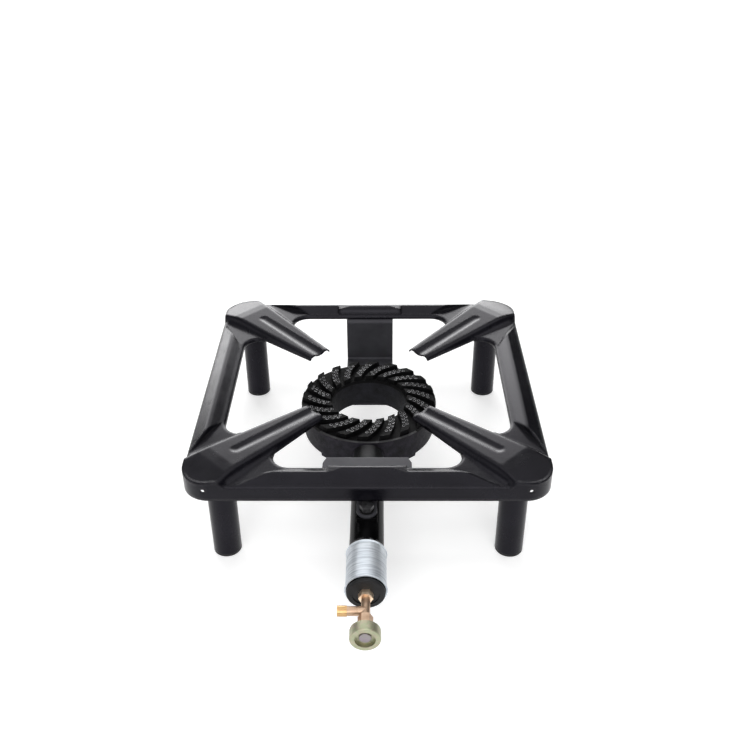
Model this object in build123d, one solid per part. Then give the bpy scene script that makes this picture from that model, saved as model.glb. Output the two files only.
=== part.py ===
from build123d import *
import math
import os

# Gas stool burner. Millimetres, +Z up. The origin is on the floor, under the middle of the ring burner.
# +X is to the right of someone at the knob, and the knob points along -Y.

# Pressed frame
frame_size = 400.0
frame_corner_radius = 31.0
sheet = 1.5
skirt_bottom = 103.5
skirt_height = 19.0
rail_width = 35.0
lip_depth = 5.0
lip_cut_margin = 0.6
fold_radius = 3.0
roll_radius = 4.0
inner_corner_radius = 20.0
skirt_hole_diameter = 4.0
skirt_hole_drop = 6.0
skirt_hole_spacing = 348.0

# Raised beads along the rails, and the higher pads in the middle of the front and rear rails
bead_rise = 6.8
bead_slope = 0.5
bead_margin = 2.0
bead_length = 228.0
bead_crest = 3.0
bead_crest_radius = 4.0
bead_end_run = 4.0
bead_end_slant = 2.0
pad_rise = 9.0
pad_length = 86.0
pad_crest = 8.0
pad_crest_radius = 8.0
pad_end_run = 15.0

# Arms from the corners towards the middle, each with a pressed groove
arm_tip_reach = 90.0
nose_inset = 40.5
arm_tip_width = 31.0
arm_tip_foot = 34.0
arm_tip_rise = 2.5
arm_nose_width = 50.0
arm_nose_foot = 67.0
arm_nose_rise = 9.5
arm_drop = 2.5
arm_edge_radius = 6.0
arm_overlap = 1.0
blend_run = 73.0
blend_tail = 21.0
blend_start_radius = 1.0
blend_nose_radius = 12.0
blend_end_radius = 8.0
blend_bite = 0.05
blend_spare = 1.05
nose_ease = 6.0
nose_fall = 0.15
nose_flare = 0.2
nose_round = 7.5
groove_radius = 15.0
groove_tip_depth = 2.2
groove_end_depth = 1.4
groove_margin = 21.0

# Legs and foot caps
leg_inset = 37.5
leg_diameter = 32.0
leg_wall = 1.5
foot_height = 4.0
foot_plug_length = 14.0
foot_round = 1.8

# Ring burner casting
burner_diameter = 168.0
burner_hole = 93.0
burner_bottom = 55.0
body_height = 35.0
body_draft = 2.5
casting_wall = 5.0
casting_round = 2.5
front_pad_span = 84.0
front_pad_proud = 3.5
front_pad_margin = 2.0
hole_relief_depth = 6.0
hole_relief_height = 3.3
crown_plate = 4.0
crown_lip_depth = 3.0
crown_lip_wall = 2.5

# Swirled ribs and flame ports
rib_count = 20
rib_height = 6.0
rib_width = 9.5
rib_draft = 5.0
rib_sweep = 23.0
rib_margin = 1.0
port_count = 9
port_width = 2.5
port_stagger = 1.9

# Burner fasteners
crown_screw_count = 4
crown_screw_diameter = 5.0
crown_screw_head = 9.0
crown_screw_head_height = 3.0
crown_screw_skin = 1.5
boss_wall = 3.5
strap_bolt_spacing = 36.0
strap_bolt_diameter = 6.0
strap_bolt_head = 10.0
strap_bolt_head_height = 4.0
strap_bolt_grip = 10.0
strap_bolt_end_gap = 1.5
washer_thickness = 1.6
washer_overhang = 1.5

# Rear strap and front bracket
strap_width = 64.0
strap_thickness = 3.0
strap_end = 50.0
strap_web_gap = 0.5
bend_radius = 3.0
bracket_width = 98.0
bracket_thickness = 2.5
bracket_reach = 21.5
bracket_corner_width = 4.0
bracket_corner_depth = 9.0
bracket_foot_width = 22.0
bracket_web_inset = 28.0
bracket_bolt_offset = 5.5
bracket_bolt_diameter = 8.0
bracket_bolt_head = 13.0
bracket_bolt_head_height = 5.3
bracket_bolt_grip = 6.0

# Mixing tube
tube_axis = 74.0
tube_diameter = 36.5
tube_wall = 3.0
mouth_diameter = 39.4
mouth_length = 52.0
mouth_blend = 6.0
mouth_front = -301.0
neck_front = -140.0
spigot_length = 18.0
throat_diameter = 25.5
throat_taper_length = 80.0
tube_pad_rise = 1.25

# Air windows and sleeve
window_length = 23.0
window_span = 80.0
window_setback = 6.0
sleeve_length = 51.0
sleeve_sheet = 0.8
sleeve_setback = 1.0
sleeve_clearance = 0.3
sleeve_slot = 2.0

# Mouth cap
cap_thickness = 4.0
cap_setback = 0.2
cap_round = 1.8
cap_dish = 1.2
cap_dish_diameter = 28.0
cap_spigot_length = 5.0
cap_spigot_wall = 3.0

# Needle valve
valve_spigot_diameter = 8.0
valve_diameter = 9.0
valve_length = 29.0
valve_collar_diameter = 11.0
valve_collar_length = 8.0
valve_passage = 3.2
valve_chamber = 6.0
valve_chamber_length = 9.0
seat_diameter = 2.2
seat_length = 5.0
inlet_setback = 15.5
inlet_stub_diameter = 9.3
inlet_stub_length = 23.0
inlet_passage = 4.0
inlet_diameter = 10.6
inlet_length = 9.5
inlet_overlap = 5.0
inlet_bore = 6.0
lock_nut_width = 13.0
lock_nut_height = 6.5
injector_width = 11.0
injector_hex_length = 8.0
injector_floor = 1.5
injector_nose_length = 9.0
injector_nose_diameter = 4.0
injector_root = 4.0
injector_orifice = 1.2
gland_width = 13.0
gland_length = 13.0
gland_overlap = 6.0
packing_diameter = 9.3
packing_length = 3.3

# Spindle, needle and knob
spindle_diameter = 5.0
spindle_end_diameter = 4.0
needle_length = 8.0
needle_diameter = 4.0
needle_tip_diameter = 1.2
needle_pin_diameter = 2.0
needle_pin_length = 4.0
knob_gap = 3.0
knob_diameter = 30.0
knob_depth = 12.0
knob_rim = 5.0
knob_recess = 4.0
knob_back_rim = 4.5
knob_back_recess = 3.0
knob_hub_diameter = 12.0
knob_round = 1.5
knob_screw_diameter = 3.0
knob_screw_head = 12.0
knob_screw_head_height = 2.0
knob_screw_length = 7.0

# Radial clearances: still pieces, pieces that turn, bolts in plates, and the needle in its seat at rest
fit_clearance = 0.05
running_clearance = 0.08
bolt_clearance = 0.3
needle_seat_gap = 0.3

# Places worked out from the sizes above
frame_half = frame_size / 2
frame_z = skirt_bottom + skirt_height
lip_z = frame_z - lip_depth
arm_foot_z = frame_z - arm_drop
opening_half = frame_half - rail_width
corner_reach = (frame_half - frame_corner_radius) * math.sqrt(2) + frame_corner_radius + sheet
arm_nose_reach = corner_reach - nose_inset
blend_start_reach = arm_nose_reach - blend_run
blend_end_reach = arm_nose_reach + blend_tail
groove_end_reach = arm_nose_reach - groove_margin
leg_place = frame_half - leg_inset
burner_radius = burner_diameter / 2
hole_radius = burner_hole / 2
seam_z = burner_bottom + body_height
crown_z = seam_z + crown_plate
crown_screw_tip = crown_z - crown_screw_skin
channel_radius = (burner_radius + hole_radius) / 2
rib_inner = hole_radius + rib_margin
rib_outer = burner_radius - rib_margin
rib_turn = -rib_sweep / (rib_outer - rib_inner)
tube_radius = tube_diameter / 2
mouth_radius = mouth_diameter / 2
mouth_bore = mouth_radius - tube_wall
tube_bore = tube_radius - tube_wall
mouth_back = mouth_front + mouth_length
neck_bore = tube_radius - tube_wall + fit_clearance
bracket_bolt_y = -frame_half - bracket_bolt_offset
tube_pad_z = tube_axis + tube_radius + tube_pad_rise
strap_bolt_y = math.sqrt(channel_radius**2 - (strap_bolt_spacing / 2) ** 2)
strap_floor = burner_bottom - strap_thickness
cap_face = mouth_front - cap_thickness
nut_back = cap_face + cap_dish
valve_back = nut_back - lock_nut_height
valve_front = valve_back - valve_length
spigot_tail = mouth_front + injector_hex_length - injector_floor
inlet_y = valve_back - inlet_setback
inlet_end = inlet_stub_length - inlet_overlap + inlet_length
seat_y = valve_front + valve_collar_length + valve_chamber_length
gland_front = valve_front + gland_overlap - gland_length
needle_slope = (needle_diameter - needle_tip_diameter) / needle_length
needle_at_seat = seat_diameter - 2 * needle_seat_gap
spindle_back = seat_y - (needle_diameter - needle_at_seat) / needle_slope
knob_back = gland_front - knob_gap
knob_front = knob_back - knob_depth
knob_floor = knob_front + knob_recess


def around(shape, count):
    """Copies of a shape, evenly turned about the vertical axis."""
    return [Rot(0, 0, 360 / count * turn) * shape for turn in range(count)]


def upright(profile):
    """A solid turned about the vertical axis from a closed (radius, height) outline."""
    return revolve(Plane.XZ * profile, Axis.Z)


def turned(*points):
    """A solid turned about the tube's axis from (radius, y) corners."""
    return Pos(0, 0, tube_axis) * revolve(Polygon(*points, align=None), Axis.Y)


def rod(radius, start, end):
    """A round bar along the tube's axis."""
    return turned((0, start), (radius, start), (radius, end), (0, end))


def hex_bar(width, start, end):
    """A six-sided bar along the tube's axis, with flats above and below."""
    section = RegularPolygon(width / 2, 6, major_radius=False)
    plane = Plane((0, start, tube_axis), x_dir=(1, 0, 0), z_dir=(0, -1, 0))
    return extrude(plane * section, start - end)


def disc(radius, low, high):
    """A round bar about the vertical axis."""
    return Pos(0, 0, low) * extrude(Circle(radius), high - low)


def hex_post(width, low, high):
    """A six-sided bar about the vertical axis."""
    return Pos(0, 0, low) * extrude(RegularPolygon(width / 2, 6, major_radius=False), high - low)


# Pressed frame


def frame_outline(inset):
    """Rounded square of the frame, drawn in by inset."""
    side = frame_size - 2 * inset
    return RectangleRounded(side, side, frame_corner_radius - inset)


def nose_stations():
    """Reaches between which an arm's top turns over from its climb to its fall."""
    return arm_nose_reach - nose_ease, arm_nose_reach + nose_ease


def arm_shape(reach):
    """Half-widths of an arm's flat top and of its foot, and its height, at a distance from the middle."""
    start, end = nose_stations()
    if start < reach < end:
        share = (reach - start) / (end - start)
        both = zip(arm_shape(start), arm_shape(end))
        return tuple(first + share * (last - first) for first, last in both)
    if reach <= arm_nose_reach:
        share = (reach - arm_tip_reach) / (arm_nose_reach - arm_tip_reach)
        top = arm_tip_width + share * (arm_nose_width - arm_tip_width)
        foot = arm_tip_foot + share * (arm_nose_foot - arm_tip_foot)
        rise = arm_tip_rise + share * (arm_nose_rise - arm_tip_rise)
    else:
        past = reach - arm_nose_reach
        top = arm_nose_width + 2 * nose_flare * past
        rise = arm_nose_rise - nose_fall * past
        foot = top + (arm_nose_foot - arm_nose_width) * (rise + arm_drop) / (arm_nose_rise + arm_drop)
    return top / 2, foot / 2, frame_z + rise


def arm_lean(reach):
    """How far an arm's walls lean out for each unit of height."""
    top, foot, crest = arm_shape(reach)
    return (foot - top) / (crest - arm_foot_z)


def arm_half(reach, height, inset):
    """Half-width of an arm between its slanted walls at a height, less a wall of the inset's thickness."""
    lean = arm_lean(reach)
    return arm_shape(reach)[1] - lean * (height - arm_foot_z) - inset * math.hypot(1, lean)


def arm_section(reach, inset):
    """Cross-section of an arm, drawn in by inset, on a plane square to it."""
    crest = arm_shape(reach)[2] - inset
    root = arm_foot_z - 2 * inset
    low = arm_half(reach, root, inset)
    high = arm_half(reach, crest, inset)
    outline = Polygon((-low, root), (low, root), (high, crest), (-high, crest), align=None)
    outline = fillet(outline.vertices().group_by(Axis.Y)[-1], arm_edge_radius - inset)
    return Plane((reach, 0, 0), x_dir=(0, 1, 0), z_dir=(1, 0, 0)) * outline


def arm(inset):
    """One arm from its tip to the rounded nose over the frame's corner."""
    stations = (arm_tip_reach - 2 * inset, *nose_stations(), corner_reach)
    blade = loft([arm_section(reach, inset) for reach in stations], ruled=True)
    limit = extrude(frame_outline(inset), frame_z + arm_nose_rise + sheet - inset)
    limit = fillet(limit.edges().group_by(Axis.Z)[-1], nose_round - inset)
    return Rot(0, 0, 45) * blade & limit


def blend_section(reach, inset):
    """Cross-section of the hollow blends at the foot of an arm's walls, a bite deep in wall and sheet."""
    start, end = nose_stations()
    if reach < end:
        share = max(0, (reach - blend_start_reach) / (start - blend_start_reach))
        radius = blend_start_radius + min(1, share) * (blend_nose_radius - blend_start_radius)
    else:
        share = (reach - end) / (blend_end_reach - end)
        radius = blend_nose_radius + share * (blend_end_radius - blend_nose_radius)
    hollow = radius + inset
    level = frame_z - inset - blend_bite
    slant = math.atan(arm_lean(reach))
    crown = level + blend_spare * hollow * math.tan(math.pi / 4 - slant / 2) * math.cos(slant)
    root = level - sheet / 2
    low = arm_half(reach, level, inset + blend_bite)
    high = arm_half(reach, crown, inset + blend_bite)
    wide = low + hollow
    outline = Polygon(
        (-wide, root), (wide, root), (wide, level), (low, level),
        (high, crown), (-high, crown), (-low, level), (-wide, level),
        align=None,
    )
    corners = outline.vertices().group_by(Axis.Y)[1].sort_by(lambda corner: abs(corner.X))[:2]
    return Plane((reach, 0, 0), x_dir=(0, 1, 0), z_dir=(1, 0, 0)) * fillet(corners, hollow)


def arm_blend(inset):
    """Hollow blends from one arm's walls onto the sheet, which widen towards the frame's corner."""
    stations = (blend_start_reach, *nose_stations(), blend_end_reach)
    blend = loft([blend_section(reach, inset) for reach in stations], ruled=True)
    base = Pos(0, 0, frame_z - inset - sheet)
    limit = base * extrude(frame_outline(fold_radius - sheet / 2), arm_nose_rise, taper=45)
    return (Rot(0, 0, 45) * blend & limit) - base * extrude(frame_opening(inset), arm_nose_rise)


def frame_opening(inset):
    """Plan of the space between the rails and arms, grown by inset."""
    near = arm_half(arm_tip_reach, frame_z, arm_overlap)
    nose = arm_half(arm_nose_reach, frame_z, arm_overlap)
    far = near + (nose - near) * (frame_size - arm_tip_reach) / (arm_nose_reach - arm_tip_reach)
    corners = (arm_tip_reach, -near), (frame_size, -far), (frame_size, far), (arm_tip_reach, near)
    blade = Rot(0, 0, 45) * Polygon(*corners, align=None)
    space = Rectangle(2 * opening_half, 2 * opening_half) - around(blade, 4)
    roots = [v for v in space.vertices() if max(abs(v.X), abs(v.Y)) > opening_half - sheet]
    space = fillet(roots, inner_corner_radius)
    return offset(space, inset) if inset else space


def bead(inset, rise, length, crest, crest_radius, end_rise, end_run, end_slant):
    """Raised roof-like bead on the front rail. Its ends climb from end_rise, and slant along the arms."""
    root = skirt_bottom
    top = frame_z + rise
    outer = -frame_half + bead_margin
    inner = -opening_half - roll_radius
    ridge = outer + rise / bead_slope
    profile = Polygon(
        (outer, root), (inner, root), (inner, frame_z),
        (ridge + crest, top), (ridge, top), (outer, frame_z),
        align=None,
    )
    profile = fillet(profile.vertices().group_by(Axis.Y)[-1], crest_radius)
    half = length / 2
    short = half - 2 * end_run
    low = frame_z + end_rise
    peak = 2 * top - low
    end = Polygon(
        (-half, root), (frame_size, root), (frame_size, peak), (-short, peak), (-half, low),
        align=None,
    )
    if inset:
        profile = offset(profile, -inset)
        end = offset(end, -inset)
    run = extrude(Plane.YZ * profile, frame_half, both=True)
    across = Plane((0, ridge, 0), x_dir=(1, 0, 0), z_dir=(0, -1, 0))
    left = extrude(across * end, frame_half, dir=(end_slant, 1, 0), both=True)
    return run & left & mirror(left, about=Plane.YZ)


def groove(grow):
    """Round-ended rod that presses the groove into one arm, grown by the sheet for its underside."""
    end_half = math.sqrt(groove_end_depth * (2 * groove_radius - groove_end_depth))
    end_reach = groove_end_reach - end_half
    tip = Vector(arm_tip_reach, 0, arm_shape(arm_tip_reach)[2] + groove_radius - groove_tip_depth)
    end = Vector(end_reach, 0, arm_shape(end_reach)[2] + groove_radius - groove_end_depth)
    along = (end - tip).normalized()
    start = tip - along * groove_radius
    radius = groove_radius + grow
    bar = extrude(Plane(start, z_dir=along) * Circle(radius), (end - start).length)
    return Rot(0, 0, 45) * (bar + Pos(end) * Sphere(radius))


def inside_rails(point):
    """Whether a point lies on the inner side of the rails' middle lines."""
    return max(abs(point.X), abs(point.Y)) < frame_half - rail_width / 2


def frame_mass(inset):
    """The frame as a filled block, drawn in by inset."""
    base = skirt_bottom - 2 * inset
    plate = Pos(0, 0, base) * extrude(frame_outline(inset), frame_z - inset - base)
    plate = fillet(plate.edges().group_by(Axis.Z)[-1], fold_radius - inset)
    plate -= Pos(0, 0, base) * extrude(frame_opening(inset), skirt_height + 2 * inset)
    rim = [edge for edge in plate.edges().group_by(Axis.Z)[-1] if inside_rails(edge.center())]
    plate = fillet(rim, roll_radius - inset)
    bar = bead(
        inset, bead_rise, bead_length, bead_crest, bead_crest_radius, 0, bead_end_run, bead_end_slant
    )
    pad = bead(inset, pad_rise, pad_length, pad_crest, pad_crest_radius, bead_rise, pad_end_run, 0)
    beads = around(bar, 4)
    pads = around(pad, 2)
    arms = around(arm(inset), 4) + around(arm_blend(inset), 4)
    return plate + (beads + pads + arms) - around(groove(inset), 4)


def skirt_holes():
    """Drain holes through the front and rear skirts, near the corners."""
    height = frame_z - skirt_hole_drop
    bar = extrude(Plane.XZ * Circle(skirt_hole_diameter / 2), frame_size, both=True)
    return [Pos(side * skirt_hole_spacing / 2, 0, height) * bar for side in (-1, 1)]


def top_frame(hollow):
    """The pressing: the outer block less the hollow under the sheet, with short lips inside."""
    shell = frame_mass(0) - hollow
    below = extrude(frame_opening(sheet + lip_cut_margin), lip_z - skirt_bottom + sheet)
    return shell - Pos(0, 0, skirt_bottom - sheet) * below - skirt_holes()


# Legs


def leg(hollow):
    """Tube leg at the origin's corner place, its top cut to the underside of the corner."""
    place = Pos(leg_place, leg_place, 0)
    ring = Circle(leg_diameter / 2) - Circle(leg_diameter / 2 - leg_wall)
    lower = place * Pos(0, 0, foot_height) * extrude(ring, skirt_bottom - foot_height)
    upper = place * Pos(0, 0, skirt_bottom) * extrude(ring, frame_size) & hollow
    return lower + upper


def foot_cap():
    """Closed foot with a rounded edge and a plug inside the leg."""
    pad = disc(leg_diameter / 2, 0, foot_height)
    pad = fillet(pad.edges().group_by(Axis.Z)[0], foot_round)
    plug_radius = leg_diameter / 2 - leg_wall - fit_clearance
    plug = disc(plug_radius, foot_height, foot_height + foot_plug_length)
    return Pos(leg_place, leg_place, 0) * (pad + plug)


# Ring burner


def body_radius(height):
    """Outer radius of the tapered burner body at a height."""
    return burner_radius - body_draft * (seam_z - height) / body_height


def burner_body():
    """Annular gas channel with a front pad, a neck for the tube, and bosses for the fasteners."""
    floor = burner_bottom + casting_wall
    outside = Polygon(
        (hole_radius, burner_bottom + hole_relief_height), (hole_radius + hole_relief_depth, burner_bottom),
        (body_radius(burner_bottom), burner_bottom), (burner_radius, seam_z), (hole_radius, seam_z),
        align=None,
    )
    channel = Polygon(
        (hole_radius + casting_wall, floor), (body_radius(floor) - casting_wall, floor),
        (burner_radius - casting_wall, seam_z), (hole_radius + casting_wall, seam_z),
        align=None,
    )
    outside = fillet(outside.vertices().group_by(Axis.Y)[0], casting_round)
    ring = upright(outside)
    low = burner_bottom + front_pad_margin
    inner = burner_radius - casting_wall
    pad = Polygon(
        (inner, low), (body_radius(low) + front_pad_proud, low),
        (burner_radius + front_pad_proud, crown_z), (burner_radius + fit_clearance, crown_z),
        (burner_radius + fit_clearance, seam_z), (inner, seam_z),
        align=None,
    )
    pad = Rot(0, 0, -90 - front_pad_span / 2) * revolve(Plane.XZ * pad, Axis.Z, front_pad_span)
    neck = rod(tube_radius, -burner_radius + casting_wall, neck_front)
    above_seam = Pos(0, 0, seam_z) * extrude(Circle(burner_radius + fit_clearance), tube_diameter)
    body = ring + pad + (neck - above_seam) - upright(channel)
    for boss, top in boss_places():
        body += boss * disc(boss_radius(top), floor - casting_round, top)
    body -= rod(neck_bore, neck_front + spigot_length, neck_front)
    body -= rod(throat_diameter / 2, -channel_radius, neck_front)
    return body - fastener_holes()


def boss_radius(top):
    """Radius of a fastener boss: the tall ones carry crown screws, the short ones strap bolts."""
    hole = crown_screw_diameter if top == seam_z else strap_bolt_diameter
    return hole / 2 + boss_wall


def crown_screw_places():
    """Crown screws, evenly spaced on the channel's middle line, between the strap and the neck."""
    first = Rot(0, 0, 180 / crown_screw_count) * Pos(channel_radius, 0, 0)
    return [Rot(0, 0, 360 / crown_screw_count * turn) * first for turn in range(crown_screw_count)]


def strap_bolt_places():
    """The two bolts that hold the burner's rear on the strap."""
    return [Pos(side * strap_bolt_spacing / 2, strap_bolt_y, 0) for side in (-1, 1)]


def boss_places():
    """Each boss inside the channel with its top."""
    bolt_top = burner_bottom + strap_bolt_grip + casting_wall
    tall = [(place, seam_z) for place in crown_screw_places()]
    return tall + [(place, bolt_top) for place in strap_bolt_places()]


def fastener_holes():
    """Holes in the burner body for the crown screws and strap bolts."""
    screw = disc(crown_screw_diameter / 2 + fit_clearance, burner_bottom, seam_z)
    bolt = disc(strap_bolt_diameter / 2 + fit_clearance, burner_bottom, burner_bottom + strap_bolt_grip)
    screws = [place * screw for place in crown_screw_places()]
    return screws + [place * bolt for place in strap_bolt_places()]


def rib_heading(radius):
    """Angle of a rib's middle line at a radius: it sweeps clockwise on its way out."""
    return math.radians(rib_turn * (radius - rib_inner))


def rib_point(radius, side):
    """Point on a rib's middle line, or moved sideways off it."""
    angle = rib_heading(radius)
    slant = angle + math.atan(radius * math.radians(rib_turn))
    middle = Vector(radius * math.cos(angle), radius * math.sin(angle))
    return middle + Vector(-math.sin(slant), math.cos(slant)) * side


def rib():
    """One swirled rib that stands on the crown plate, its ends cut to the ring's edges."""
    radii = (rib_inner - rib_width, channel_radius, rib_outer + rib_width)
    right = ThreePointArc(*[rib_point(radius, -rib_width / 2) for radius in radii])
    left = ThreePointArc(*[rib_point(radius, rib_width / 2) for radius in reversed(radii)])
    plan = make_face([right, Line(right @ 1, left @ 0), left, Line(left @ 1, right @ 0)])
    plan = plan & (Circle(rib_outer) - Circle(rib_inner))
    return Pos(0, 0, crown_z) * extrude(plan, rib_height, dir=(0, 0, 1), taper=rib_draft)


def rib_ports():
    """Staggered row of six-sided flame ports along one rib, down into the gas channel."""
    inner = hole_radius + casting_wall
    outer = burner_radius - casting_wall - crown_lip_wall
    step = (outer - inner) / port_count
    drill = hex_post(port_width, seam_z - crown_lip_depth, crown_z + rib_height)
    places = []
    for number in range(port_count):
        side = port_stagger if number % 2 else -port_stagger
        places.append(Pos(rib_point(inner + step * (number + 0.5), side)))
    return [place * drill for place in places]


def burner_crown():
    """Cover ring of the burner with swirled ribs, flame ports and a lip that centres it in the body."""
    lip_outer = burner_radius - casting_wall - body_draft * crown_lip_depth / body_height - fit_clearance
    plate = Polygon(
        (hole_radius, seam_z), (lip_outer - crown_lip_wall, seam_z),
        (lip_outer - crown_lip_wall, seam_z - crown_lip_depth), (lip_outer, seam_z - crown_lip_depth),
        (lip_outer, seam_z), (burner_radius, seam_z), (burner_radius, crown_z), (hole_radius, crown_z),
        align=None,
    )
    ported = rib() - rib_ports()
    ports = [port for drill in rib_ports() for port in around(drill, rib_count)]
    screw = disc(crown_screw_diameter / 2 + fit_clearance, seam_z, crown_screw_tip)
    crown = upright(plate) - ports - [place * screw for place in crown_screw_places()]
    return crown + around(ported, rib_count)


def crown_screws():
    """Screws from below that hold the crown on the body."""
    head = disc(crown_screw_head / 2, burner_bottom - crown_screw_head_height, burner_bottom)
    head = chamfer(head.edges().group_by(Axis.Z)[0], crown_screw_head_height / 3)
    screw = head + disc(crown_screw_diameter / 2, burner_bottom, crown_screw_tip)
    return Compound(children=[place * screw for place in crown_screw_places()])


# Rear strap and its bolts


def bent_strip(points, width, thickness):
    """Flat strip of an even thickness along a bent path in the YZ plane."""
    path = FilletPolyline(*[(0, y, z) for y, z in points], radius=bend_radius + thickness / 2)
    section = Plane(path @ 0, x_dir=(1, 0, 0), z_dir=path % 0) * Rectangle(width, thickness)
    return sweep(section, path)


def rear_strap():
    """Strap from under the rear rail, down its inner side and forward under the burner."""
    half = strap_thickness / 2
    web = opening_half - strap_web_gap - half
    path = (
        (frame_half - fold_radius, lip_z - half), (web, lip_z - half),
        (web, burner_bottom - half), (strap_end, burner_bottom - half),
    )
    strap = bent_strip(path, strap_width, strap_thickness)
    hole = disc(strap_bolt_diameter / 2 + bolt_clearance, strap_floor, burner_bottom)
    return strap - [place * hole for place in strap_bolt_places()]


def strap_bolts():
    """Hex bolts from below into the burner body."""
    seat = strap_floor - washer_thickness
    bolt = hex_post(strap_bolt_head, seat - strap_bolt_head_height, seat)
    bolt += disc(strap_bolt_diameter / 2, seat, burner_bottom + strap_bolt_grip - strap_bolt_end_gap)
    return Compound(children=[place * bolt for place in strap_bolt_places()])


def strap_washers():
    """Flat washers under the strap bolts."""
    washer = disc(strap_bolt_head / 2 + washer_overhang, strap_floor - washer_thickness, strap_floor)
    washer -= disc(strap_bolt_diameter / 2 + fit_clearance, strap_floor - washer_thickness, strap_floor)
    return Compound(children=[place * washer for place in strap_bolt_places()])


# Front bracket and its bolt


def front_bracket():
    """Plate under the front rail with a tongue bent down to a foot on the mixing tube."""
    side = bracket_width / 2
    front = -frame_half + fold_radius
    back = -opening_half + bracket_reach
    plate = Polygon(
        (-side, front), (side, front),
        (side, back - bracket_corner_depth), (side - bracket_corner_width, back),
        (bracket_corner_width - side, back), (-side, back - bracket_corner_depth),
        align=None,
    )
    plate = Pos(0, 0, lip_z) * extrude(plate, -bracket_thickness)
    half = bracket_thickness / 2
    web = -frame_half + bracket_web_inset
    path = (
        (-opening_half, lip_z - half), (web, lip_z - half),
        (web, tube_pad_z + half), (bracket_bolt_y, tube_pad_z + half),
    )
    tongue = bent_strip(path, bracket_foot_width, bracket_thickness)
    foot_top = tube_pad_z + bracket_thickness
    foot_end = Pos(0, bracket_bolt_y, 0) * disc(bracket_foot_width / 2, tube_pad_z, foot_top)
    hole = disc(bracket_bolt_diameter / 2 + bolt_clearance, tube_pad_z, foot_top)
    return plate + tongue + foot_end - Pos(0, bracket_bolt_y, 0) * hole


def bracket_washer():
    """Flat washer on the bracket's foot."""
    low = tube_pad_z + bracket_thickness
    washer = disc(bracket_bolt_head / 2 + washer_overhang, low, low + washer_thickness)
    washer -= disc(bracket_bolt_diameter / 2 + fit_clearance, low, low + washer_thickness)
    return Pos(0, bracket_bolt_y, 0) * washer


def bracket_bolt():
    """Hex bolt through the bracket's foot into the pad on the tube."""
    seat = tube_pad_z + bracket_thickness + washer_thickness
    bolt = hex_post(bracket_bolt_head, seat, seat + bracket_bolt_head_height)
    bolt += disc(bracket_bolt_diameter / 2, tube_pad_z - bracket_bolt_grip, seat)
    return Pos(0, bracket_bolt_y, 0) * bolt


# Mixing tube, air sleeve and mouth cap


def air_windows():
    """The two side windows that let air into the tube's mouth."""
    front = mouth_front + window_setback
    wedge = rod(mouth_diameter, front + window_length, front)
    half = math.tan(math.radians(window_span / 2)) * mouth_diameter
    fan = Polygon((0, 0), (mouth_diameter, half), (mouth_diameter, -half), align=None)
    fan += Rot(0, 0, 180) * fan
    return wedge & Pos(0, 0, tube_axis) * extrude(Plane.XZ * fan, frame_size, both=True)


def mixing_tube():
    """Tube from the burner's neck to the wide mouth, with a throat inside and a pad for the bracket."""
    spigot = neck_bore - fit_clearance
    throat = throat_diameter / 2
    back = neck_front + spigot_length
    outside = turned(
        (0, back), (spigot, back), (spigot, neck_front), (tube_radius, neck_front),
        (tube_radius, mouth_back + mouth_blend), (mouth_radius, mouth_back),
        (mouth_radius, mouth_front), (0, mouth_front),
    )
    inside = turned(
        (0, back), (throat, back), (throat, neck_front), (tube_bore, neck_front - throat_taper_length),
        (tube_bore, mouth_back + mouth_blend), (mouth_bore, mouth_back),
        (mouth_bore, mouth_front), (0, mouth_front),
    )
    pad = Rectangle(bracket_foot_width, bracket_foot_width)
    pad = Pos(0, bracket_bolt_y, tube_axis) * extrude(pad, tube_pad_z - tube_axis)
    hole = disc(bracket_bolt_diameter / 2 + fit_clearance, tube_axis, tube_pad_z)
    return outside + pad - inside - air_windows() - Pos(0, bracket_bolt_y, 0) * hole


def air_sleeve():
    """Split sheet sleeve that slides on the mouth."""
    front = mouth_front + sleeve_setback
    back = front + sleeve_length
    inner = mouth_radius + sleeve_clearance
    outer = inner + sleeve_sheet
    sleeve = turned((inner, front), (outer, front), (outer, back), (inner, back))
    slot = Pos(0, (front + back) / 2, tube_axis - outer) * Box(sleeve_slot, sleeve_length, outer)
    return sleeve - slot


def mouth_cap():
    """Dished disc that closes the mouth, centred by a short spigot."""
    rim = mouth_radius - cap_setback
    dish = cap_dish_diameter / 2
    spigot = mouth_bore - fit_clearance
    tail = mouth_front + cap_spigot_length
    plate = rod(rim, mouth_front, cap_face)
    plate = fillet(plate.edges().group_by(Axis.Y)[0], cap_round)
    plate -= rod(dish, nut_back, cap_face)
    ring = rod(spigot, tail, mouth_front) - rod(spigot - cap_spigot_wall, tail, mouth_front)
    return plate + ring - rod(valve_spigot_diameter / 2 + fit_clearance, mouth_front, nut_back)


# Needle valve


def inlet_bar(radius, start, end):
    """A round bar along the side inlet, between distances from the tube's axis."""
    section = Plane((-start, inlet_y, tube_axis), z_dir=(-1, 0, 0)) * Circle(radius)
    return extrude(section, end - start)


def valve_body():
    """Brass body: spigot through the cap, side inlet stub, needle seat and a collar for the gland nut."""
    collar_back = valve_front + valve_collar_length
    body = rod(valve_diameter / 2, valve_back, valve_front)
    body += rod(valve_collar_diameter / 2, collar_back, valve_front)
    body += rod(valve_spigot_diameter / 2, spigot_tail, valve_back)
    body += inlet_bar(inlet_stub_diameter / 2, 0, inlet_stub_length)
    body -= rod(spindle_diameter / 2 + running_clearance, collar_back, valve_front)
    body -= rod(valve_chamber / 2, seat_y, collar_back)
    body -= rod(seat_diameter / 2, seat_y + seat_length, seat_y)
    body -= rod(valve_passage / 2, spigot_tail, seat_y + seat_length)
    return body - inlet_bar(inlet_passage / 2, 0, inlet_stub_length)


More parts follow.
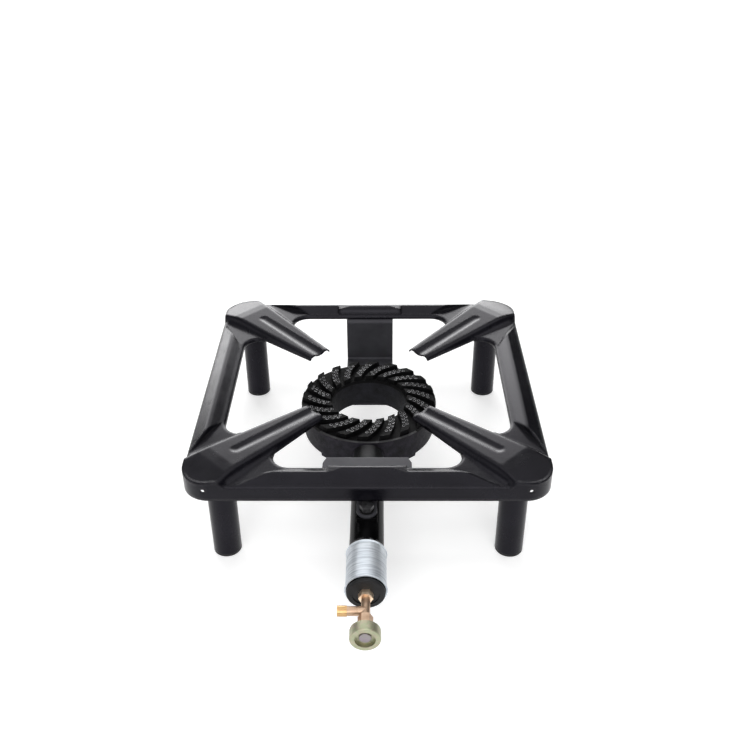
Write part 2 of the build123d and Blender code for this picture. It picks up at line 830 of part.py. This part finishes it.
def inlet_fitting():
    """Bright end piece pushed over the inlet stub, for the gas hose."""
    start = inlet_stub_length - inlet_overlap
    fitting = inlet_bar(inlet_diameter / 2, start, inlet_end)
    fitting -= inlet_bar(inlet_stub_diameter / 2 + fit_clearance, start, inlet_stub_length)
    return fitting - inlet_bar(inlet_bore / 2, start, inlet_end)


def lock_nut():
    """Hex nut that holds the valve on the cap."""
    hole = rod(valve_spigot_diameter / 2 + fit_clearance, nut_back, valve_back)
    return hex_bar(lock_nut_width, nut_back, valve_back) - hole


def injector():
    """Jet screwed on the spigot inside the mouth."""
    shoulder = mouth_front + injector_hex_length
    tip = shoulder + injector_nose_length
    jet = hex_bar(injector_width, shoulder, mouth_front)
    jet += turned((0, shoulder), (injector_root, shoulder), (injector_nose_diameter / 2, tip), (0, tip))
    jet -= rod(valve_spigot_diameter / 2 + fit_clearance, spigot_tail, mouth_front)
    return jet - rod(injector_orifice / 2, tip, mouth_front)


def gland_nut():
    """Hex cap nut on the collar, with room for the packing and a hole for the spindle."""
    back = valve_front + gland_overlap
    nut = hex_bar(gland_width, back, gland_front)
    nut -= rod(valve_collar_diameter / 2 + fit_clearance, back, valve_front)
    nut -= rod(packing_diameter / 2 + fit_clearance, valve_front, valve_front - packing_length)
    return nut - rod(spindle_diameter / 2 + running_clearance, back, gland_front)


def spindle_seal():
    """Packing ring between the collar and the gland nut."""
    ring = rod(packing_diameter / 2, valve_front, valve_front - packing_length)
    return ring - rod(spindle_diameter / 2 + running_clearance, valve_front, valve_front - packing_length)


# Spindle, needle and knob


def spindle():
    """Turned spindle with a socket for the needle and a seat for the knob."""
    pin_end = spindle_back - needle_pin_length
    bar = rod(spindle_diameter / 2, spindle_back, knob_back)
    bar += rod(spindle_end_diameter / 2, knob_back, knob_floor)
    bar -= rod(needle_pin_diameter / 2 + running_clearance, spindle_back, pin_end)
    return bar - rod(knob_screw_diameter / 2 + fit_clearance, knob_floor + knob_screw_length, knob_floor)


def valve_needle():
    """Swivelling needle tip held in the spindle's end."""
    tip = spindle_back + needle_length
    root, end = needle_diameter / 2, needle_tip_diameter / 2
    cone = turned((0, spindle_back), (root, spindle_back), (end, tip), (0, tip))
    return cone + rod(needle_pin_diameter / 2, spindle_back, spindle_back - needle_pin_length)


def knob():
    """Round knob, hollow at the back round its hub and recessed at the front."""
    rim = knob_diameter / 2
    wheel = rod(rim, knob_back, knob_front)
    wheel = fillet(wheel.edges(), knob_round)
    wheel -= rod(rim - knob_rim, knob_floor, knob_front)
    well = rod(rim - knob_back_rim, knob_back, knob_back - knob_back_recess)
    wheel -= well - rod(knob_hub_diameter / 2, knob_back, knob_back - knob_back_recess)
    return wheel - rod(spindle_end_diameter / 2 + fit_clearance, knob_back, knob_floor)


def knob_screw():
    """Pan-head screw in the middle of the knob."""
    head = rod(knob_screw_head / 2, knob_floor, knob_floor - knob_screw_head_height)
    head = fillet(head.edges().group_by(Axis.Y)[0], knob_screw_head_height / 3)
    return head + rod(knob_screw_diameter / 2, knob_floor + knob_screw_length, knob_floor)


def build():
    """All pieces by name, in place."""
    hollow = frame_mass(sheet)
    pieces = {"top_frame": top_frame(hollow)}
    corners = {"rear_right": 0, "rear_left": 90, "front_left": 180, "front_right": 270}
    one_leg, one_foot = leg(hollow), foot_cap()
    for corner, turn in corners.items():
        pieces["leg_" + corner] = Rot(0, 0, turn) * one_leg
        pieces["foot_cap_" + corner] = Rot(0, 0, turn) * one_foot
    makers = (
        burner_body, burner_crown, crown_screws, rear_strap, strap_bolts, strap_washers,
        front_bracket, bracket_washer, bracket_bolt, mixing_tube, air_sleeve, mouth_cap,
        lock_nut, injector, valve_body, inlet_fitting, gland_nut, spindle_seal,
        spindle, valve_needle, knob, knob_screw,
    )
    for make in makers:
        pieces[make.__name__] = make()
    return pieces


if __name__ == "__main__":
    os.makedirs("parts", exist_ok=True)
    for name, piece in build().items():
        export_step(piece, f"parts/{name}.step")
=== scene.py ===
"""The stool burner with its finishes and smallest pieces, lit and seen as in the photograph."""

import math

import bmesh
import bpy
from mathutils import Matrix, Vector


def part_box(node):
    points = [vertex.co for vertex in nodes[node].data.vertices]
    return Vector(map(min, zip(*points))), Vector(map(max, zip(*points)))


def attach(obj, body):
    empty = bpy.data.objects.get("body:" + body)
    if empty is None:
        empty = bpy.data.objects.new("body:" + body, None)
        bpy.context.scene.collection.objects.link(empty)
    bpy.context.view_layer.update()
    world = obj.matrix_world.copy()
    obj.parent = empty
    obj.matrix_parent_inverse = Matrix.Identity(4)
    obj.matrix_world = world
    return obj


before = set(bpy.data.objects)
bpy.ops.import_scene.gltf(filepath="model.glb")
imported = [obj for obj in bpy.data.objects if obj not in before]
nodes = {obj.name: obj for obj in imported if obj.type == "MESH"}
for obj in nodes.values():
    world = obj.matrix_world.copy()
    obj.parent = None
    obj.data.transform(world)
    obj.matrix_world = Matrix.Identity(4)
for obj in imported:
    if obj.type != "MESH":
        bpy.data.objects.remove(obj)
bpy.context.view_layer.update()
scene = bpy.context.scene
scene.view_settings.view_transform = "Standard"


# Material helpers

# The Mix node's colour sockets share their names with its number sockets, so they are taken by place.
mix_first, mix_second, mix_result = 6, 7, 2
bevel_samples = 8


class Look:
    """A Principled shader whose colour, roughness and bump come from node textures."""

    def __init__(self, name, **constants):
        self.material = bpy.data.materials.new(name)
        self.material.use_nodes = True
        self.tree = self.material.node_tree
        self.shader = self.tree.nodes["Principled BSDF"]
        self.place = self.node("ShaderNodeTexCoord").outputs["Object"]
        for socket, value in constants.items():
            self.shader.inputs[socket.replace("_", " ")].default_value = value

    def node(self, kind, **settings):
        made = self.tree.nodes.new(kind)
        for key, value in settings.items():
            setattr(made, key, value)
        return made

    def link(self, source, target):
        self.tree.links.new(source, target)

    def stretched(self, scale):
        """The object's coordinates, scaled along each axis."""
        mapping = self.node("ShaderNodeMapping")
        mapping.inputs["Scale"].default_value = scale
        self.link(self.place, mapping.inputs["Vector"])
        return mapping.outputs["Vector"]

    def noise(self, scale, detail=4.0, stretch=None, rough=0.55):
        """Noise with features of about 1/scale metres."""
        made = self.node("ShaderNodeTexNoise")
        made.inputs["Scale"].default_value = scale
        made.inputs["Detail"].default_value = detail
        made.inputs["Roughness"].default_value = rough
        self.link(self.stretched(stretch) if stretch else self.place, made.inputs["Vector"])
        return made.outputs["Fac"]

    def ramp(self, factor, *stops):
        """Colours from (position, colour) stops."""
        made = self.node("ShaderNodeValToRGB")
        band = made.color_ramp.elements
        while len(band) < len(stops):
            band.new(0.5)
        for element, (position, colour) in zip(band, stops):
            element.position = position
            element.color = (*colour, 1.0)
        self.link(factor, made.inputs["Fac"])
        return made.outputs["Color"]

    def spread(self, factor, to, over=(0.3, 0.7)):
        """A number that goes from one limit to the other while a factor goes over a range."""
        made = self.node("ShaderNodeMapRange")
        made.inputs["From Min"].default_value, made.inputs["From Max"].default_value = over
        made.inputs["To Min"].default_value, made.inputs["To Max"].default_value = to
        self.link(factor, made.inputs["Value"])
        return made.outputs["Result"]

    def share(self, factor, over):
        """Nought below a range of a factor, one above it, and a blend within."""
        return self.spread(factor, to=(0.0, 1.0), over=over)

    def mix(self, factor, first, second):
        """Blend of two colours by a factor."""
        made = self.node("ShaderNodeMix", data_type="RGBA")
        self.link(factor, made.inputs["Factor"])
        for place, colour in ((mix_first, first), (mix_second, second)):
            if isinstance(colour, tuple):
                made.inputs[place].default_value = (*colour, 1.0)
            else:
                self.link(colour, made.inputs[place])
        return made.outputs[mix_result]

    def upright(self, vector):
        """The vertical part of a vector."""
        parts = self.node("ShaderNodeSeparateXYZ")
        self.link(vector, parts.inputs["Vector"])
        return parts.outputs["Z"]

    def height(self, low, high):
        """Nought below one height in metres and one above another."""
        return self.share(self.upright(self.place), over=(low, high))

    def facing_up(self, low, high):
        """Nought on steep faces and one on those that look up, for dust and for painted shade and painted
        highlight that follow the slope.
        """
        normal = self.node("ShaderNodeNewGeometry").outputs["Normal"]
        return self.share(self.upright(normal), over=(low, high))

    def outward(self, near, far):
        """Nought within one distance in metres of the vertical axis and one beyond another."""
        length = self.node("ShaderNodeVectorMath", operation="LENGTH")
        self.link(self.stretched((1.0, 1.0, 0.0)), length.inputs[0])
        return self.share(length.outputs["Value"], over=(near, far))

    def colour(self, source):
        self.link(source, self.shader.inputs["Base Color"])

    def roughness(self, source):
        self.link(source, self.shader.inputs["Roughness"])

    def soften(self, radius):
        """Normals as if the edges were rounded by a radius in metres."""
        made = self.node("ShaderNodeBevel", samples=bevel_samples)
        made.inputs["Radius"].default_value = radius
        return made.outputs["Normal"]

    def bump(self, *layers, last=None):
        """Stacked bumps from (height factor, depth in metres), over softened normals where they are given."""
        for factor, depth in layers:
            made = self.node("ShaderNodeBump")
            made.inputs["Strength"].default_value = 1.0
            made.inputs["Distance"].default_value = depth
            self.link(factor, made.inputs["Height"])
            if last:
                self.link(last, made.inputs["Normal"])
            last = made.outputs["Normal"]
        self.link(last, self.shader.inputs["Normal"])


# Materials

enamel_sheen = (0.92, 0.89, 1.0, 1.0)
dust_gain, dust_lift = 1.7, 0.002
broad_peel = 3


def enamel(name, tint, shine, rough, peel, edge):
    """Baked black enamel with slight orange peel, cloudy gloss, faint dust and soft edges."""
    look = Look(name, Specular_IOR_Level=shine, Specular_Tint=enamel_sheen)
    dusty = tuple(value * dust_gain + dust_lift for value in tint)
    look.colour(look.mix(look.share(look.noise(22.0, detail=5.0), over=(0.35, 0.7)), tint, dusty))
    look.roughness(look.spread(look.noise(55.0, detail=6.0), to=rough))
    fine, broad = look.noise(420.0, detail=2.0), look.noise(35.0, detail=2.0)
    look.bump((fine, peel), (broad, peel * broad_peel), last=look.soften(edge))
    return look.material


def cast_iron(hole):
    """Rough sand-cast surface under thin mottled paint, with painted shade on faces that tilt up, dust and a
    painted highlight on faces that look straight up, and soot inside a hole of a radius.
    """
    look = Look("cast_iron", Specular_IOR_Level=0.19)
    grain = look.noise(700.0, detail=8.0, rough=0.7)
    patch = look.noise(75.0, detail=6.0, rough=0.65)
    paint = look.ramp(
        patch,
        (0.34, (0.002, 0.0018, 0.0032)), (0.5, (0.009, 0.0078, 0.0125)), (0.66, (0.021, 0.0185, 0.027)),
    )
    # Painted shade: faces that tilt up are darkened to near black, which gives the neck its dark flanks.
    slope_shade = look.mix(look.facing_up(0.25, 0.6), paint, (0.003, 0.003, 0.0035))
    # Dust and a painted highlight: faces that look straight up are lightened, which lights the top of the
    # neck.
    dusty = look.mix(look.facing_up(0.86, 1.0), slope_shade, (0.04, 0.04, 0.042))
    soot = look.ramp(patch, (0.35, (0.001, 0.001, 0.002)), (0.65, (0.009, 0.009, 0.013)))
    outside = look.outward(hole * 1.02, hole * 1.15)
    look.colour(look.mix(outside, soot, dusty))
    look.roughness(look.spread(grain, to=(0.5, 0.78)))
    look.bump((grain, 0.0002), (look.noise(150.0, detail=3.0), 0.0004))
    return look.material


def sooted_iron(top):
    """Black sooted casting whose highest faces, at a height in metres, are rubbed grey in specks."""
    look = Look("sooted_iron", Specular_IOR_Level=0.08)
    grain = look.noise(700.0, detail=8.0, rough=0.7)
    clouds, specks = look.noise(60.0, detail=5.0), look.noise(420.0, detail=3.0)
    soot = look.ramp(clouds, (0.35, (0.001, 0.001, 0.0012)), (0.7, (0.005, 0.005, 0.0055)))
    rubbed = look.ramp(specks, (0.5, (0.0015, 0.0015, 0.0018)), (0.68, (0.014, 0.014, 0.015)))
    look.colour(look.mix(look.height(top - 0.0006, top - 0.0002), soot, rubbed))
    look.roughness(look.spread(grain, to=(0.5, 0.78)))
    look.bump((grain, 0.0002))
    return look.material


def bare_sheet():
    """Bright rolled sheet with fine lines around the sleeve and a dull film."""
    look = Look("bare_sheet", Metallic=0.75, Specular_IOR_Level=0.4)
    lines = look.noise(30.0, detail=5.0, stretch=(1.0, 16.0, 1.0), rough=0.6)
    bright = look.ramp(look.noise(45.0), (0.3, (0.6, 0.65, 0.7)), (0.7, (0.72, 0.76, 0.8)))
    look.colour(look.mix(look.share(lines, over=(0.46, 0.64)), bright, (0.43, 0.47, 0.52)))
    look.roughness(look.spread(lines, to=(0.34, 0.5)))
    look.bump((lines, 0.00002))
    return look.material


def brass(name, dull, bright, rough):
    """Turned brass with tool marks and darker tarnish in patches."""
    look = Look(name, Metallic=1.0)
    marks = look.noise(540.0, detail=5.0)
    tarnish = look.noise(110.0, detail=5.0)
    look.colour(look.ramp(tarnish, (0.32, dull), (0.68, bright)))
    look.roughness(look.spread(marks, to=rough))
    look.bump((marks, 0.00003))
    return look.material


def mottled_metal(name, low, high):
    """Dull bare or zinc-plated metal with fine mottling."""
    look = Look(name, Metallic=1.0)
    mottle = look.noise(260.0, detail=5.0)
    look.colour(look.ramp(mottle, (0.3, low), (0.7, high)))
    look.roughness(look.spread(look.noise(140.0), to=(0.34, 0.52)))
    look.bump((mottle, 0.00002))
    return look.material


def passivated(name, *tints):
    """Passivated plate that shimmers between tints in soft patches."""
    look = Look(name, Metallic=1.0)
    first, last = 0.3, 0.7
    gap = (last - first) / (len(tints) - 1)
    stops = [(first + gap * step, tint) for step, tint in enumerate(tints)]
    look.colour(look.ramp(look.noise(95.0, detail=3.0), *stops))
    look.roughness(look.spread(look.noise(170.0, detail=5.0), to=(0.42, 0.56)))
    look.bump((look.noise(500.0, detail=3.0), 0.00002))
    return look.material


def dull_black(name, low, high):
    """Black plastic, rubber or coated steel with a fine grain."""
    look = Look(name, Specular_IOR_Level=0.22)
    grain = look.noise(900.0)
    look.colour(look.ramp(look.noise(70.0), (0.3, low), (0.7, high)))
    look.roughness(look.spread(grain, to=(0.45, 0.62)))
    look.bump((grain, 0.00005))
    return look.material


crown_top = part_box("burner_crown")[1].z
hole_radius = min(math.hypot(*vertex.co.xy) for vertex in nodes["burner_crown"].data.vertices)

frame_enamel = enamel(
    "frame_enamel", (0.0028, 0.0027, 0.0042), shine=0.18, rough=(0.2, 0.28), peel=0.000012, edge=0.005
)
# Painted light: the strap and bracket enamel is a lighter grey copy of the black enamel, standing in for the
# light on the strap's web.
strap_enamel_painted_light = enamel(
    "strap_enamel_painted_light", (0.023, 0.023, 0.026), shine=0.24, rough=(0.4, 0.5), peel=0.000012, edge=0.001
)
leg_enamel = enamel(
    "leg_enamel", (0.003, 0.0028, 0.005), shine=0.17, rough=(0.2, 0.3), peel=0.000012, edge=0.001
)
# Painted shade: the tube's enamel is a darker, duller copy of the black enamel, standing in for the shade
# under the front rail.
tube_enamel = enamel(
    "tube_enamel", (0.0005, 0.0005, 0.0006), shine=0.05, rough=(0.16, 0.26), peel=0.00001, edge=0.001
)
body_iron = cast_iron(hole_radius)
crown_iron = sooted_iron(crown_top)
rim_iron = mottled_metal("rim_iron", (0.1, 0.1, 0.105), (0.4, 0.4, 0.41))
sheet_metal = bare_sheet()
dull_brass = brass("dull_brass", (0.42, 0.28, 0.19), (0.64, 0.46, 0.33), rough=(0.36, 0.52))
# Painted light: the lock nut's brass is lightened well beyond the valve's, making up for the shade it sits
# in.
nut_brass_painted_light = brass("nut_brass_painted_light", (0.94, 0.7, 0.5), (1.0, 0.86, 0.66), rough=(0.4, 0.54))
bright_brass = brass("bright_brass", (0.46, 0.28, 0.12), (0.64, 0.41, 0.2), rough=(0.26, 0.42))
fastener_zinc = mottled_metal("fastener_zinc", (0.14, 0.14, 0.145), (0.28, 0.28, 0.285))
# Painted shade: the bracket bolt's zinc is darkened for the shade under the front rail.
bolt_zinc_painted_shade = mottled_metal("bolt_zinc_painted_shade", (0.06, 0.06, 0.063), (0.14, 0.14, 0.144))
needle_steel = mottled_metal("needle_steel", (0.5, 0.5, 0.51), (0.66, 0.66, 0.67))
plated = passivated(
    "plated",
    (0.38, 0.33, 0.3), (0.43, 0.4, 0.29), (0.37, 0.4, 0.27), (0.45, 0.42, 0.31), (0.38, 0.41, 0.32),
)
plated_screw = passivated("plated_screw", (0.27, 0.24, 0.25), (0.32, 0.28, 0.31), (0.3, 0.3, 0.25))
foot_black = dull_black("foot_black", (0.009, 0.009, 0.01), (0.02, 0.02, 0.022))
cap_black = dull_black("cap_black", (0.008, 0.008, 0.0085), (0.016, 0.016, 0.017))
# Painted shade: the bracket washer's near black stands in for the shade under the front rail.
washer_painted_shade = dull_black("washer_painted_shade", (0.0008, 0.0008, 0.0009), (0.003, 0.003, 0.0032))
seal_black = dull_black("seal_black", (0.012, 0.012, 0.012), (0.025, 0.025, 0.025))

corners = ("front_left", "front_right", "rear_left", "rear_right")
finishes = {
    frame_enamel: ["top_frame"],
    strap_enamel_painted_light: ["rear_strap", "front_bracket"],
    leg_enamel: ["leg_" + corner for corner in corners],
    foot_black: ["foot_cap_" + corner for corner in corners],
    body_iron: ["burner_body"],
    crown_iron: ["burner_crown"],
    tube_enamel: ["mixing_tube"],
    cap_black: ["mouth_cap"],
    sheet_metal: ["air_sleeve"],
    dull_brass: ["valve_body", "gland_nut", "spindle", "injector"],
    nut_brass_painted_light: ["lock_nut"],
    bright_brass: ["inlet_fitting"],
    fastener_zinc: ["strap_bolts", "strap_washers", "crown_screws"],
    bolt_zinc_painted_shade: ["bracket_bolt"],
    washer_painted_shade: ["bracket_washer"],
    needle_steel: ["valve_needle"],
    plated: ["knob"],
    plated_screw: ["knob_screw"],
    seal_black: ["spindle_seal"],
}
for material, names in finishes.items():
    for name in names:
        nodes[name].data.materials.clear()
        nodes[name].data.materials.append(material)


# Pieces too small for the CAD model, in metres

same_point = 1e-6
level_slack = 1e-5
sharp_angle = 1.0
port_corners = 6
# Each step of a port's rim: its spread from the port's middle, and its rise over the crown.
port_rim_steps = ((1.0, -0.0003), (1.05, 0.00025), (1.25, 0.0003), (1.45, -0.0001))
# Each step of a sleeve's bead: how far it stands out, and how far it is from the sleeve's end.
sleeve_rim_steps = ((-0.0003, 0.0), (0.0006, 0.0002), (0.0009, 0.001), (0.0006, 0.0018), (-0.0003, 0.0022))
sleeve_rim_points = 96
weld_radius = 0.0012
weld_ripple = 0.00025
weld_ripple_count = 15
weld_sink = 0.0003
weld_points = 120
weld_rings = 8
leg_slack = 1e-4


def piece_from(name, shape, material, body):
    """A finished mesh piece that rides on a body and is repainted with a slot."""
    mesh = bpy.data.meshes.new(name)
    shape.to_mesh(mesh)
    shape.free()
    mesh.materials.append(material)
    piece = bpy.data.objects.new(name, mesh)
    scene.collection.objects.link(piece)
    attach(piece, body)


def ring_strip(shape, rings):
    """Closed bands of faces between rings that have the same number of points."""
    rows = [[shape.verts.new(point) for point in ring] for ring in rings]
    for low, high in zip(rows, rows[1:]):
        for first in range(len(low)):
            second = (first + 1) % len(low)
            shape.faces.new((low[first], low[second], high[second], high[first]))


def port_mouths():
    """Corner points of each flame port's mouth: the six-sided loops of sharp edges at the crown's top."""
    shape = bmesh.new()
    shape.from_mesh(nodes["burner_crown"].data)
    bmesh.ops.remove_doubles(shape, verts=shape.verts, dist=same_point)
    shape.normal_update()
    onward = {}
    for edge in shape.edges:
        level = all(vertex.co.z > crown_top - level_slack for vertex in edge.verts)
        if level and len(edge.link_faces) == 2 and edge.calc_face_angle() > sharp_angle:
            for vertex in edge.verts:
                onward.setdefault(vertex, []).append(edge.other_vert(vertex))
    mouths, seen = [], set()
    for start in onward:
        loop, vertex = [], start
        while vertex and vertex not in seen:
            seen.add(vertex)
            loop.append(vertex.co.copy())
            vertex = next((other for other in onward[vertex] if other not in seen), None)
        if len(loop) == port_corners:
            mouths.append(loop)
    shape.free()
    return mouths


def port_rims():
    """Low burred rims round the flame ports, which catch the light."""
    shape = bmesh.new()
    for mouth in port_mouths():
        middle = sum(mouth, Vector()) / len(mouth)
        ring_strip(shape, [
            [middle + (corner - middle) * spread + Vector((0, 0, rise)) for corner in mouth]
            for spread, rise in port_rim_steps
        ])
    bmesh.ops.recalc_face_normals(shape, faces=shape.faces)
    piece_from("port_rims", shape, rim_iron, "stove")


def sleeve_rims():
    """Rolled beads round both ends of the air sleeve."""
    low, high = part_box("air_sleeve")
    middle = (low + high) / 2
    radius = (high.x - low.x) / 2
    turns = [2 * math.pi * point / sleeve_rim_points for point in range(sleeve_rim_points)]
    shape = bmesh.new()
    for end, inward in ((low.y, 1), (high.y, -1)):
        ring_strip(shape, [
            [(
                middle.x + (radius + proud) * math.sin(turn),
                end + inward * along,
                middle.z + (radius + proud) * math.cos(turn),
            ) for turn in turns]
            for proud, along in sleeve_rim_steps
        ])
    bmesh.ops.recalc_face_normals(shape, faces=shape.faces)
    piece_from("sleeve_rims", shape, sheet_metal, "sleeve")


def top_edge(leg, middle, radius):
    """Heights of a leg's outer top edge, by the angle round the leg."""
    heights = {}
    for vertex in leg.data.vertices:
        away = (vertex.co - middle).xy
        if away.length > radius - leg_slack and vertex.co.z > middle.z:
            heights[round(math.atan2(away.y, away.x), 3)] = vertex.co.z
    return heights


def leg_welds():
    """Rippled weld beads round the tops of the legs, under the frame."""
    shape = bmesh.new()
    for corner in corners:
        low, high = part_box("leg_" + corner)
        middle = (low + high) / 2
        radius = (high.x - low.x) / 2
        heights = top_edge(nodes["leg_" + corner], middle, radius)
        rings = [[] for ring in range(weld_rings)]
        for point in range(weld_points):
            turn = 2 * math.pi * point / weld_points - math.pi
            height = heights[min(heights, key=lambda known: abs(known - turn))] - weld_sink
            swell = weld_radius + weld_ripple * math.sin(weld_ripple_count * turn)
            for ring, points in enumerate(rings):
                slant = 2 * math.pi * ring / weld_rings
                out = radius + swell * math.cos(slant)
                points.append((
                    middle.x + out * math.cos(turn),
                    middle.y + out * math.sin(turn),
                    height + swell * math.sin(slant),
                ))
        ring_strip(shape, rings + rings[:1])
    bmesh.ops.remove_doubles(shape, verts=shape.verts, dist=same_point)
    bmesh.ops.recalc_face_normals(shape, faces=shape.faces)
    piece_from("leg_welds", shape, leg_enamel, "stove")


port_rims()
sleeve_rims()
leg_welds()


# Floor, light and camera

floor_reach = 6.0
floor_tone = 0.8
floor_glow = 0.42
fill_left, fill_right = 0.2, 0.04
fill_turn = 0.6
camera_place = (0.01474, -0.93296, 0.74475)
camera_pitch, camera_yaw, camera_roll = (math.radians(angle) for angle in (32.825, 0.937, -0.595))
camera_lens = 44.32
camera_sensor = 36.0


def light_path(tree):
    """One where the eye, a reflection or glass looks at the surface, and nought for other light."""
    path = tree.nodes.new("ShaderNodeLightPath")
    total = path.outputs["Is Camera Ray"]
    for name in ("Is Glossy Ray", "Is Transmission Ray"):
        both = tree.nodes.new("ShaderNodeMath")
        both.operation = "MAXIMUM"
        tree.links.new(total, both.inputs[0])
        tree.links.new(path.outputs[name], both.inputs[1])
        total = both.outputs[0]
    return total


def floor_material():
    """Plain pale surface with a glow that only shows to the eye and in reflections."""
    material = bpy.data.materials.new("floor")
    material.use_nodes = True
    tree = material.node_tree
    tree.nodes.clear()
    diffuse = tree.nodes.new("ShaderNodeBsdfDiffuse")
    diffuse.inputs["Color"].default_value = (floor_tone, floor_tone, floor_tone, 1.0)
    level = tree.nodes.new("ShaderNodeMath")
    level.operation = "MULTIPLY"
    level.inputs[1].default_value = floor_glow
    tree.links.new(light_path(tree), level.inputs[0])
    glow = tree.nodes.new("ShaderNodeEmission")
    tree.links.new(level.outputs[0], glow.inputs["Strength"])
    both = tree.nodes.new("ShaderNodeAddShader")
    tree.links.new(diffuse.outputs[0], both.inputs[0])
    tree.links.new(glow.outputs[0], both.inputs[1])
    output = tree.nodes.new("ShaderNodeOutputMaterial")
    tree.links.new(both.outputs[0], output.inputs["Surface"])
    return material


def floor():
    """Square floor that shows white and keeps the soft shadow."""
    mesh = bpy.data.meshes.new("floor")
    points = [(floor_reach * x, floor_reach * y, 0) for x, y in ((-1, -1), (1, -1), (1, 1), (-1, 1))]
    mesh.from_pydata(points, [], [(0, 1, 2, 3)])
    mesh.materials.append(floor_material())
    piece = bpy.data.objects.new("floor", mesh)
    scene.collection.objects.link(piece)


def surroundings():
    """Soft white fill of a studio, dimmer to the right."""
    world = bpy.data.worlds.new("studio")
    scene.world = world
    world.use_nodes = True
    tree = world.node_tree
    heading = tree.nodes.new("ShaderNodeTexCoord")
    parts = tree.nodes.new("ShaderNodeSeparateXYZ")
    tree.links.new(heading.outputs["Generated"], parts.inputs["Vector"])
    level = tree.nodes.new("ShaderNodeMapRange")
    level.inputs["From Min"].default_value = -fill_turn
    level.inputs["From Max"].default_value = fill_turn
    level.inputs["To Min"].default_value = fill_left
    level.inputs["To Max"].default_value = fill_right
    tree.links.new(parts.outputs["X"], level.inputs["Value"])
    background = tree.nodes["Background"]
    background.inputs["Color"].default_value = (1.0, 1.0, 1.0, 1.0)
    tree.links.new(level.outputs["Result"], background.inputs["Strength"])


def softbox(name, place, target, size, level):
    """Rectangular studio lamp of an even brightness that faces a point."""
    lamp = bpy.data.lights.new(name, "AREA")
    lamp.shape = "RECTANGLE"
    lamp.size, lamp.size_y = size
    lamp.energy = level * math.pi * size[0] * size[1]
    piece = bpy.data.objects.new(name, lamp)
    scene.collection.objects.link(piece)
    piece.location = place
    piece.rotation_euler = (Vector(target) - Vector(place)).to_track_quat("-Z", "Y").to_euler()
    piece.visible_camera = False


def camera():
    """The photograph's viewpoint, fitted to the edges of the square frame."""
    ahead = Vector((-math.sin(camera_yaw), math.cos(camera_yaw), 0))
    right = Vector((math.cos(camera_yaw), math.sin(camera_yaw), 0))
    vertical = Vector((0, 0, 1))
    forward = math.cos(camera_pitch) * ahead - math.sin(camera_pitch) * vertical
    up = math.sin(camera_pitch) * ahead + math.cos(camera_pitch) * vertical
    across = math.cos(camera_roll) * right + math.sin(camera_roll) * up
    upward = -math.sin(camera_roll) * right + math.cos(camera_roll) * up
    data = bpy.data.cameras.new("camera")
    data.sensor_width = camera_sensor
    data.lens = camera_lens
    piece = bpy.data.objects.new("camera", data)
    scene.collection.objects.link(piece)
    turn = Matrix((across, upward, -forward)).transposed().to_4x4()
    piece.matrix_world = Matrix.Translation(camera_place) @ turn
    scene.camera = piece


floor()
surroundings()
softbox("rear_low", place=(-0.8, 3.4, 1.0), target=(-0.8, 0.0, 1.0), size=(3.6, 1.5), level=6.2)
softbox("rear_high", place=(-0.8, 3.4, 2.2), target=(-0.8, 0.0, 2.2), size=(3.6, 0.9), level=3.7)
softbox("rear_top", place=(0.6, 2.2, 3.1), target=(0.2, 0.0, 0.1), size=(4.4, 1.1), level=0.9)
softbox("overhead", place=(0.8, 0.3, 3.0), target=(0.8, 0.3, 0.0), size=(5.6, 2.0), level=1.5)
softbox("front_high", place=(0.0, -1.5, 2.7), target=(0.0, 0.0, 0.1), size=(3.0, 0.9), level=2.2)
softbox("front", place=(0.0, -3.2, 1.8), target=(0.0, 0.0, 0.1), size=(4.0, 2.2), level=3.1)
softbox("left", place=(-3.4, -0.4, 1.3), target=(0.0, 0.0, 0.1), size=(2.4, 1.4), level=0.8)
camera()

bpy.context.view_layer.update()
